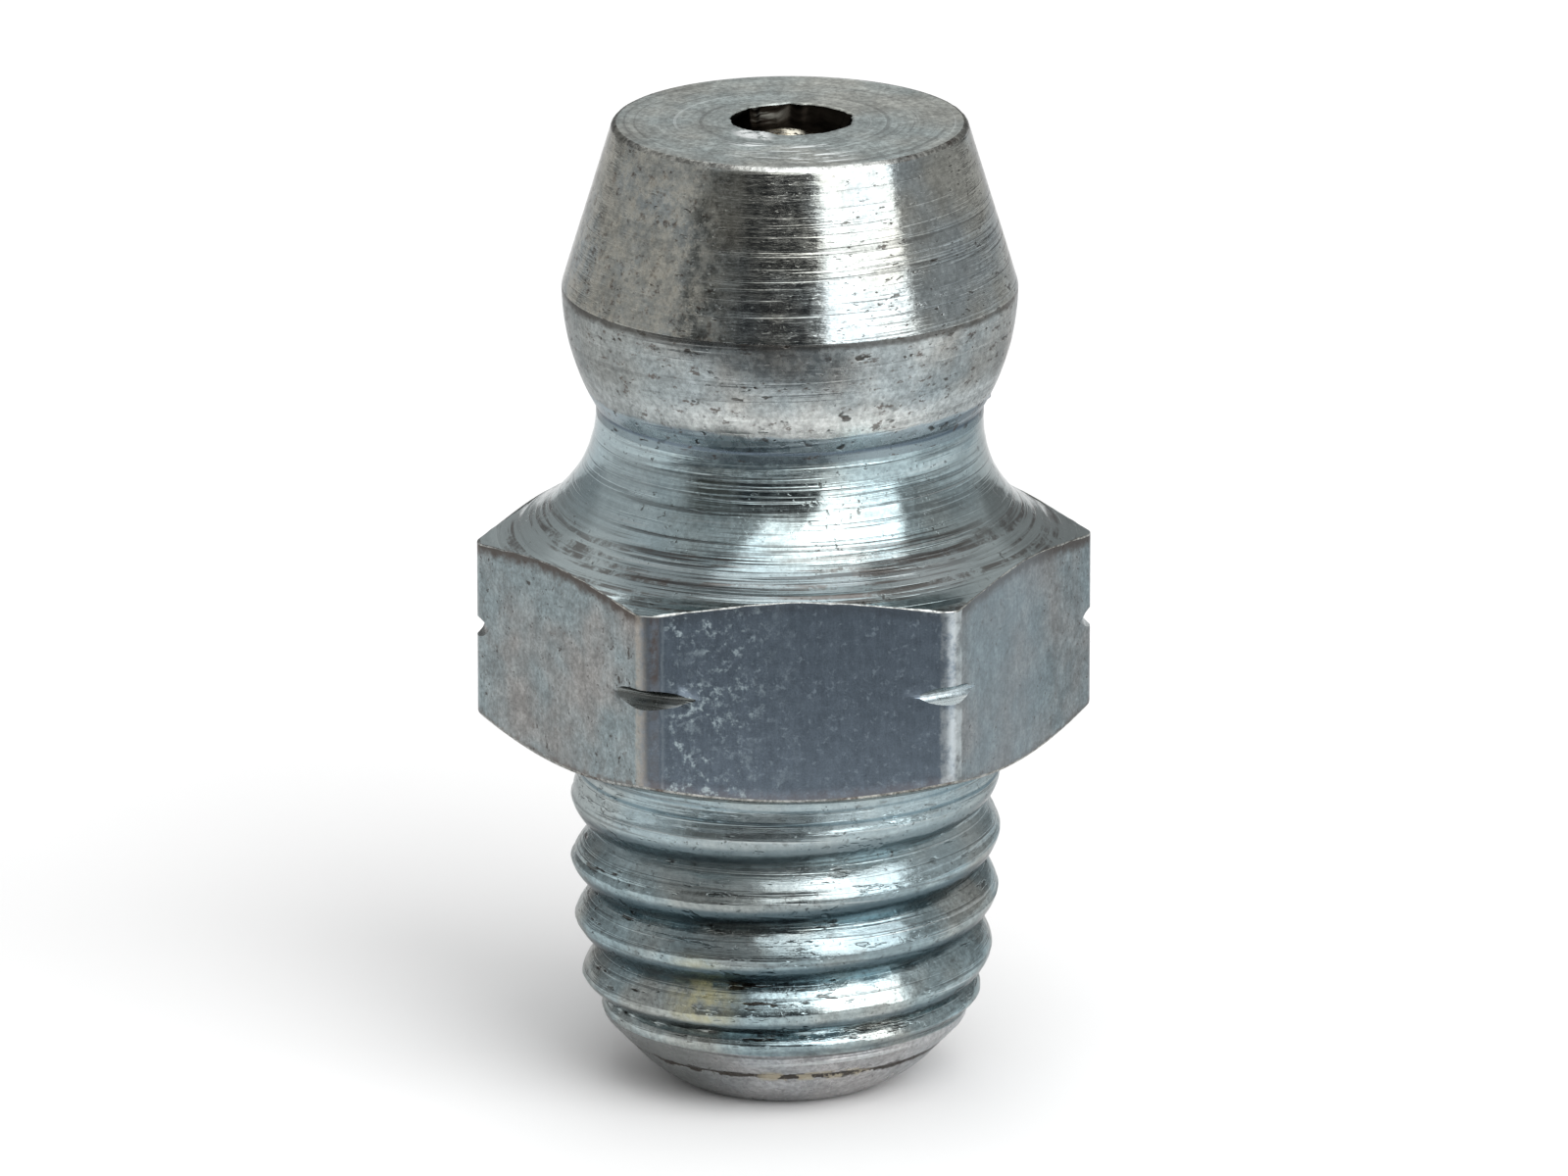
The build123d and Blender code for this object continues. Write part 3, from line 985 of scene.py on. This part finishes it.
def flat_borders(f, front, ragged):
    """Ragged dirty lines along the top and the foot of the flats, fainter on the front flat."""
    to_centre = f.minus(NECK_RADIUS + FLARE_RADIUS, f.radius)
    drop = f.math("SQRT", f.minus(FLARE_RADIUS**2, f.math("POWER", to_centre, 2)))
    under_top = f.minus(f.minus(FLARE_TOP, drop), f.z)
    over_foot = f.minus(f.z, f.times(f.minus(f.radius, SEAT_RADIUS), UNDERSIDE_SLOPE))
    top_line = f.moved(under_top, ragged, -0.3)
    foot_line = f.moved(over_foot, ragged, -0.45)
    side = f.minus(1, f.times(front, 0.75))
    f.layer((f.steps(top_line, 0.23, 0.06), side), DIRT, 0.9)
    f.layer((f.steps(foot_line, 0.12, 0.03), side), BROWN, 0.6)
    f.layer((f.steps(foot_line, 0.26, 0.04), front), FOOT_LINE, 0.55)


def corner_left(f, ragged):
    """The rounded edge left of the front flat: tan, then dark brown, then a thin painted highlight."""
    near = f.past(x=(-1.6, -1.9), y=(-3.2, -3.4))
    slant = math.radians(30)
    across = f.minus(f.times(f.x, math.cos(slant)), f.times(f.y, math.sin(slant)))
    across = f.moved(across, ragged, 0.09)
    uneven = f.steps(ragged, 0.35, 0.62, 0.35, 1)
    dirty = f.times(uneven, f.past(z=(1.2, 2.1, 0.45, 0.85)))
    f.layer((f.band(across, -0.17, -0.09, 0.04, 0.12), near), TAN, f.times(uneven, 0.7))
    f.frost((f.band(across, 0.05, 0.15, 0.2, 0.26), near), CORNER_BROWN, dirty, 0.24)
    # the thin bright line: painted highlight
    bright = f.band(across, 0.245, 0.26, 0.275, 0.3)
    f.frost((bright, near), PALE_SCRATCH_AND_HIGHLIGHT, f.times(uneven, 0.14), 0.08)


def corner_right(f, coarse, ragged):
    """The edge right of the front flat carries a pale painted highlight along its crown."""
    near = f.past(x=(1.2, 1.8), y=(-3, -3.5))
    # pale along the crown: painted highlight
    worn = f.steps(f.moved(f.radius, ragged, 0.06), 4.465, 4.49)
    f.layer((worn, near), PALE_SCRATCH_AND_HIGHLIGHT, f.steps(coarse, 0.38, 0.6, 0.05, 0.55))


def groove_finish(f):
    """The grooves in the edges: painted shade, brown-grey, on the left, darkest under their upper edge, and a
    painted highlight along their lower lip.
    """
    f.mottle(0.2, 0.2, 0.3)
    f.rings(0.5, 0.3, 0.003, 0.003)
    # painted shade in the grooves on the left, darkest under their upper edge
    left = f.past(x=(0.5, -0.5))
    f.layer(left, GROOVE_LEFT_SHADE, 0.85)
    f.layer((left, f.steps(f.z, GROOVE_LEVEL + 0.07, GROOVE_LEVEL + 0.11)), SCORE, 0.8)
    # bright along the lower lip: painted highlight
    lip = f.steps(f.z, GROOVE_LEVEL - 0.07, GROOVE_LEVEL - 0.1)
    f.frost((lip, f.past(x=(-1.6, -2.1, 1, 0.25))), PALE_SCRATCH_AND_HIGHLIGHT, 0.8, 0.4)
    f.done((0.2, 0.34))


def under_finish(f):
    """The chamfer and the seat face under the hexagon."""
    f.mottle(0.3, 0.2)
    f.rings(0.3, 0.2, 0.003, 0.003)
    f.tarnish(0.5)
    f.pits(0.7, 8, 0.5)
    f.done((0.26, 0.4))


# Faint dark lines of painted shade turned round the neck above the first thread, for grooves the mesh leaves
# out: level, half-width and strength
STEP_LINES = ((-0.3, 0.03, 0.45), (-0.49, 0.04, 0.7))
STAIN = (-1.4, -2.72, -3.25)  # middle of the yellow stain


def thread_finish(f):
    """Rolled thread: painted shade, dark blue-green, under its crests and in its valleys, bright above them
    with dark laps, a painted shade dulling the second turn, one yellow stain.
    """
    f.mottle(0.2, 0.12, 0.25)
    flank, hollow = (
        f.node("Attribute", output="Fac", attribute_name=name) for name in ("lower_flank", "hollow")
    )
    # painted shade in the valleys
    f.layer(f.steps(hollow, 0.26, 0.33), VALLEY_SHADE, 0.4)
    f.frost(f.past(z=(-1.75, -1.35)), SHANK_TOP, 0.5, 0.1)
    for level, width, amount in STEP_LINES:
        f.layer(f.steps(f.apart(f.z, level), width, width * 0.3), VALLEY_SHADE, amount)
    lap = f.streaks(0.28, 6.5, 3, 0.6, 59)
    laps = (f.steps(lap, 0.61, 0.66), f.past(z=(-1, -1.5, 0.1, 1)), f.steps(hollow, 0.02, 0.08))
    f.layer(laps, PIT, f.past(x=(1.5, -0.5, 0.5, 0.95)))
    f.relief(f.steps(lap, 0.67, 0.6), 0.01)
    # a darker, duller second turn near its crests: painted shade
    second = (f.band(f.z, -2.75, -2.5, -1.4, -1.15), f.past(aside=(2.4, 1.5)))
    f.layer((second, f.steps(hollow, 0.27, 0.18)), SECOND_TURN_SHADE, f.past(z=(-1.9, -2.2, 0.4, 0.66)))
    torn = f.streaks(0.4, 9, 4, 0.7, 63)
    f.layer(f.steps(torn, 0.56, 0.66), DARK, 0.55)
    f.relief(torn, 0.004)
    f.rings(0.3, 0.3, 0.002, 0.003)
    f.pits(0.7, 10, 0.42)
    # painted shade on the lower flanks, under the crests
    f.layer(flank, UNDER_CREST_SHADE, 0.85)
    away = f.node("VectorMath", {0: f.mm, 1: STAIN}, "Value", operation="DISTANCE")
    stain = (f.steps(away, 0.8, 0.2), f.patches(3, 4, 0.6, 61, 0.35, 0.6), f.minus(1, flank))
    f.frost(stain, YELLOW, 0.75, 0.3)
    f.done((0.14, 0.26))


def nose_finish(f):
    """The rolled end: a dark fold with tan spots along it, lilac-grey below and painted shade on the left."""
    f.mottle(0.22, 0.1)
    # painted shade on the left
    f.layer(f.past(x=(-0.5, -1.6)), NOSE_LEFT_SHADE, 0.88)
    f.pits(0.6, 8, 0.3)
    off = f.apart(f.moved(f.z, f.noise(f.mm, 1.6, 2, 0.5, 73), 0.1), FOLD_LEVEL)
    width = f.patches(3, 4, 0.7, 79, 0.38, 0.65, 0.018, 0.06)
    f.rings(0.5, 0.3, 0.003, 0.008, f.steps(f.z, FOLD_LEVEL, FOLD_LEVEL + 0.12))
    f.layer(f.steps(off, f.times(width, 1.6), width), PIT, 0.9)
    spots = f.patches(3.4, 4, 0.7, 83, 0.46, 0.52)
    front = (f.steps(f.apart(f.x, 0.3), 0.95, 0.65), f.past(y=(-1, -1.5)))
    f.frost((spots, front, f.steps(off, 0.11, 0.06)), NOSE_TAN, 0.8, 0.3)
    f.done((0.26, 0.42), rim=0.95)


def bore_finish(f):
    """Drilled and oily, and painted nearly black as the shade deep in the bore, with bare metal and painted
    light on the wall at the left of the inlet.
    """
    drilled = f.streaks(0.12, 9, 3, 0.6, 11)
    f.shade(drilled, 0.3, 1.7)
    f.relief(drilled, 0.02)
    # bare metal on the left wall of the inlet, lighter where light falls: painted light
    f.layer((f.past(z=(9, 9.2), x=(0.2, -0.3)), f.steps(drilled, 0.48, 0.6)), BARE_BORE_AND_LIGHT, 0.8)
    f.done((0.25, 0.4))


def ball_steel(f):
    """Oily ball, with a broken painted glint on its crown."""
    oily = f.noise(f.mm, 4.5, 3, 0.6, 101)
    broken = f.noise(f.mm, 13, 3, 0.7, 103)
    f.layer(f.steps(oily, 0.43, 0.53), OIL_GOLD)
    f.layer(f.steps(oily, 0.5, 0.6), OIL_PALE)
    crown = (f.steps(f.apart(f.x, 0.13), 0.22, 0.06), f.steps(f.apart(f.y, 0.08), 0.5, 0.25))
    f.frost(f.steps(broken, 0.46, 0.58), OIL_BROWN, 0.7, 0.35)
    # pale matt patches on the crown: a painted glint
    f.frost((crown, f.steps(broken, 0.43, 0.51)), PAINTED_BALL_GLINT, 0.95, 0.9)
    f.relief(oily, 0.03)
    f.done((0.08, 0.18))


def spring_steel(f):
    f.mottle(0.25, 0.2)
    f.done((0.24, 0.38))


def painted(name, paint):
    """A material with the finish that paint lays on it."""
    finish = Finish(name)
    paint(finish)
    return finish.material


# The body's finishes, in the order of its material slots
FINISHES = {
    "top": top_finish,
    "cone": cone_finish,
    "cup": cup_finish,
    "flare": flare_finish,
    "edge": edge_finish,
    "flat": flat_finish,
    "groove": groove_finish,
    "under": under_finish,
    "thread": thread_finish,
    "nose": nose_finish,
    "bore": bore_finish,
}


# ---- studio

FLOOR_HALF = 2.0  # metres, like all of the studio

# Lamps: azimuth, elevation, distance, width, height, radiance
LAMPS = {
    "softbox": (39, 32, 0.45, 0.4, 0.42, 3.1),
    "overhead_front": (7, 64, 0.45, 0.34, 0.54, 1.95),
    "overhead_back": (180, 58, 0.45, 0.17, 0.38, 1.1),
}
# Cards: azimuth, elevation, distance, width, height, colour, strength, share over which they fade out
CARDS = {
    "camera_side": (-8, 5, 0.2, 0.2, 0.18, (0.8, 0.9, 1), 0.04, 0.3),
    "left_side": (-42, 8, 0.22, 0.215, 0.2, (1, 0.97, 0.9), 0.11, 0.55),
    "back_left": (-152, 10, 0.3, 0.3, 0.26, (1, 1, 1), 0.31, 0.35),
    "back_right": (150, 10, 0.3, 0.3, 0.26, (1, 1, 1), 0.31, 0.35),
    "behind": (180, 17, 0.45, 0.24, 0.16, (1, 1, 1), 0.45, 0.35),
}
# Cards that lie just above the floor: x and y of the middle in mm, width, depth, colour, strength, fade
FLOOR_CARDS = {
    "floor_front": (-56, -51.7, 0.15, 0.0705, (0.85, 0.93, 1), 0.185, 0.08),
    "floor_right": (26, 10, 0.034, 0.04, (0.9, 0.96, 1), 0.86, 0.3),
}
FLOOR_CARD_LEVEL = NOSE_END + 0.2  # mm


def direction(azimuth, elevation):
    """Unit vector from the nipple; azimuth 0 is -Y, 90 is +X."""
    a, e = math.radians(azimuth), math.radians(elevation)
    return Vector((math.sin(a) * math.cos(e), -math.cos(a) * math.cos(e), math.sin(e)))


def stand(thing, away, start=Vector()):
    """Puts a card, lamp or camera away from start, facing it."""
    thing.location = start + away
    thing.rotation_mode = "QUATERNION"
    thing.rotation_quaternion = away.to_track_quat("Z", "Y")


def rectangle(name, width, depth, level=0):
    """A flat mesh that faces up."""
    w, d = width / 2, depth / 2
    mesh = bpy.data.meshes.new(name)
    points = [(-w, -d, level), (w, -d, level), (w, d, level), (-w, d, level)]
    mesh.from_pydata(points, [], [(0, 1, 2, 3)])
    return mesh


def plain_material(name, colour):
    n = Nodes(name)
    n.shader.inputs["Base Color"].default_value = (*colour, 1)
    n.shader.inputs["Roughness"].default_value = 0.9
    n.shader.inputs["Specular IOR Level"].default_value = 0.1
    return n.material


def glow_material(name, width, height, colour, strength, fade):
    """Light that fades out towards the edges of a card, over the outer share that fade says."""
    n = Nodes(name)
    glow = n.node("Emission", {"Color": (*colour, 1), "Strength": strength})
    x, y, _ = n.split(n.object_place())
    w, h = width / 2, height / 2
    solid = n.times(n.steps(n.apart(x), w, w * (1 - fade)), n.steps(n.apart(y), h, h * (1 - fade)))
    blend = n.node("MixShader", {0: solid, 1: n.node("BsdfTransparent"), 2: glow})
    n.feed(n.tree.nodes["Material Output"].inputs["Surface"], blend)
    return n.material


def add_floor():
    mesh = rectangle("floor", 2 * FLOOR_HALF, 2 * FLOOR_HALF, NOSE_END * MM)
    mesh.materials.append(plain_material("floor_white", (0.88, 0.88, 0.88)))
    floor = place("floor", mesh)


def add_card(name, width, height, colour, strength, fade):
    """A flat card that only reflections see."""
    mesh = rectangle(name, width, height)
    mesh.materials.append(glow_material(name, width, height, colour, strength, fade))
    card = place(name, mesh)
    for rays in ("camera", "diffuse", "shadow", "transmission"):
        setattr(card, "visible_" + rays, False)
    return card


def add_lamp(name, width, height, radiance):
    lamp = bpy.data.lights.new(name, "AREA")
    lamp.shape = "RECTANGLE"
    lamp.size, lamp.size_y = width, height
    lamp.energy = radiance * math.pi * width * height
    holder = place(name, lamp)
    holder.visible_camera = False
    return holder


def set_world():
    world = bpy.data.worlds.new("studio")
    world.use_nodes = True
    background = world.node_tree.nodes["Background"]
    background.inputs["Color"].default_value = (1, 1, 1, 1)
    background.inputs["Strength"].default_value = 0.5
    bpy.context.scene.world = world


def add_studio():
    set_world()
    add_floor()
    for name, (azimuth, elevation, distance, *look) in LAMPS.items():
        stand(add_lamp(name, *look), direction(azimuth, elevation) * distance)
    for name, (azimuth, elevation, distance, *look) in CARDS.items():
        stand(add_card(name, *look), direction(azimuth, elevation) * distance)
    for name, (x, y, *look) in FLOOR_CARDS.items():
        card = add_card(name, *look)
        card.location = (x * MM, y * MM, FLOOR_CARD_LEVEL * MM)
        card.rotation_mode = "QUATERNION"
        card.rotation_quaternion = (1, 0, 0, 0)


def add_camera():
    lens = bpy.data.cameras.new("camera")
    lens.sensor_width = SENSOR
    lens.lens = SENSOR * CAMERA_DISTANCE / FRAME_WIDTH
    lens.clip_start, lens.clip_end = 0.01, 20.0
    camera = place("camera", lens)
    away = direction(AZIMUTH, ELEVATION) * CAMERA_DISTANCE * MM
    stand(camera, away, Vector((0, 0, AIM_LEVEL * MM)))
    bpy.context.scene.camera = camera


# ---- assembly

body = place("nipple_body", build_body())
for name, paint in FINISHES.items():
    body.data.materials.append(painted("zinc_" + name, paint))
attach(body, "fitting")
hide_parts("body")

ball = place("valve_ball", ball_mesh())
ball.data.materials.append(painted("ball_steel", ball_steel))
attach(ball, "ball")
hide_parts("check_ball")

spring = place("valve_spring", spring_mesh())
spring.data.materials.append(painted("spring_steel", spring_steel))
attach(spring, "fitting")
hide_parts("spring")
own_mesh(spring)

add_studio()
add_camera()
bpy.context.scene.view_settings.view_transform = "Standard"
